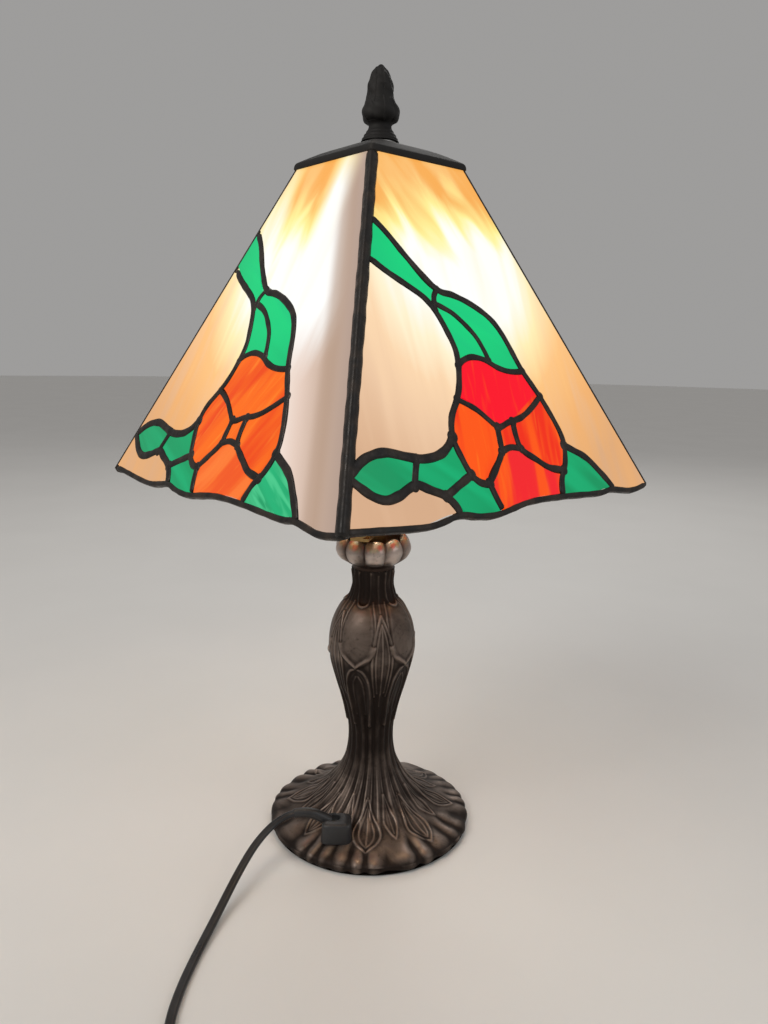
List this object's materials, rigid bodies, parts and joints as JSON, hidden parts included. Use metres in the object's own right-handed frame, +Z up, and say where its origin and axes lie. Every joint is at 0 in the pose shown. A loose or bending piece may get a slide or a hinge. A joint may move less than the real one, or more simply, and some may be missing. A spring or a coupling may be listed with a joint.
{
  "type": "stained glass table lamp",
  "caption": "Table lamp with a square flared leaded glass shade in a floral pattern on a cast bronze-coloured pedestal base, with harp, finial, flat cord, in-line switch and plug.",
  "frame": {"origin": "centre of the foot's underside, on the table", "axes": "+Z up the stem; the shade's four sides face +X, +Y, -X and -Y; the cord leaves towards the corner between +X and -Y"},
  "size_m": [0.4225, 0.3736, 0.5086],
  "materials": {
    "bronze": "dark bronze, worn on the high spots",
    "copper_bronze": "antique silver bronze",
    "felt": "felt",
    "steel": "zinc plated",
    "brass": "satin",
    "porcelain": "glazed",
    "black_plastic": "moulded",
    "cord": "flat PVC cord",
    "nickel": "nickel plated",
    "aluminium": "rolled",
    "bulb_glass": "frosted",
    "clear_glass": "clear",
    "solder": "black patina",
    "cream_glass": "opalescent",
    "leaf_glass": "opalescent",
    "petal_glass": "opalescent"
  },
  "bodies": {
    "base": {"cast_base": "bronze", "felt_pad": "felt", "bottom_plate": "steel", "threaded_rod": "steel", "rod_nut": "steel", "rod_washer": "steel", "lotus_collar": "copper_bronze", "spacer_tube": "brass", "cord_outlet_block": "black_plastic", "cord_sleeve": "cord", "inner_lead": "cord", "lampholder_cap": "brass", "lampholder_shell": "brass", "lampholder_insulator": "porcelain", "centre_contact": "brass", "screw_shell": "nickel", "harp_saddle": "brass", "harp_sleeves": "brass", "harp_loop": "brass", "harp_stud": "brass", "power_cord": "cord", "power_cord_to_coil": "cord", "cord_coil": "cord", "power_cord_tail": "cord", "cable_tie": "black_plastic", "switch_lower_shell": "black_plastic", "switch_upper_shell": "black_plastic", "switch_screws": "steel", "plug_body": "black_plastic", "plug_pins": "nickel", "switch_pivot": "steel"},
    "shade_seat": {"shade_seat_washer": "steel"},
    "shade": {"roof_cap": "bronze", "top_rim": "solder", "corner_seams_broad": "solder", "corner_seams_fine": "solder", "solder_lines_right": "solder", "cream_glass_right": "cream_glass", "leaf_glass_right": "leaf_glass", "petal_glass_right": "petal_glass", "solder_lines_back": "solder", "cream_glass_back": "cream_glass", "leaf_glass_back": "leaf_glass", "petal_glass_back": "petal_glass", "solder_lines_left": "solder", "cream_glass_left": "cream_glass", "leaf_glass_left": "leaf_glass", "petal_glass_left": "petal_glass", "solder_lines_front": "solder", "cream_glass_front": "cream_glass", "leaf_glass_front": "leaf_glass", "petal_glass_front": "petal_glass"},
    "finial_washer": {"finial_washer": "steel"},
    "finial": {"finial": "bronze"},
    "bulb_contact": {"bulb_contact": "nickel"},
    "bulb": {"bulb_cap": "aluminium", "bulb_glass": "bulb_glass", "bulb_mount": "clear_glass"},
    "rocker": {"switch_rocker": "black_plastic"}
  },
  "joints": [
    {"name": "shade_lift", "type": "slide", "parent": "base", "child": "shade_seat", "axis": [0, 0, 1], "range_m": [0, 0.23]},
    {"name": "shade_turn", "type": "hinge", "parent": "shade_seat", "child": "shade", "pos_m": [0, 0, 0.46], "axis": [0, 0, 1], "continuous": true},
    {"name": "finial_lift", "type": "slide", "parent": "shade", "child": "finial_washer", "axis": [0, 0, 1], "range_m": [0, 0.0094]},
    {"name": "finial_turn", "type": "hinge", "parent": "finial_washer", "child": "finial", "pos_m": [0, 0, 0.47], "axis": [0, 0, 1], "range_deg": [0, 3605]},
    {"name": "bulb_lift", "type": "slide", "parent": "base", "child": "bulb_contact", "axis": [0, 0, 1], "range_m": [0, 0.0182]},
    {"name": "bulb_turn", "type": "hinge", "parent": "bulb_contact", "child": "bulb", "pos_m": [0, 0, 0.3], "axis": [0, 0, 1], "range_deg": [0, 1800]},
    {"name": "switch_rock", "type": "hinge", "parent": "base", "child": "rocker", "pos_m": [0.164, -0.16532, 0.013], "axis": [0.7627, -0.6468, 0], "range_deg": [0, 14]}
  ],
  "couplings": [
    {"joint": "finial_turn", "follows": "finial_lift", "rad_per_m": 6684.2},
    {"joint": "bulb_lift", "follows": "bulb_turn", "m_per_rad": 0.00057614}
  ]
}
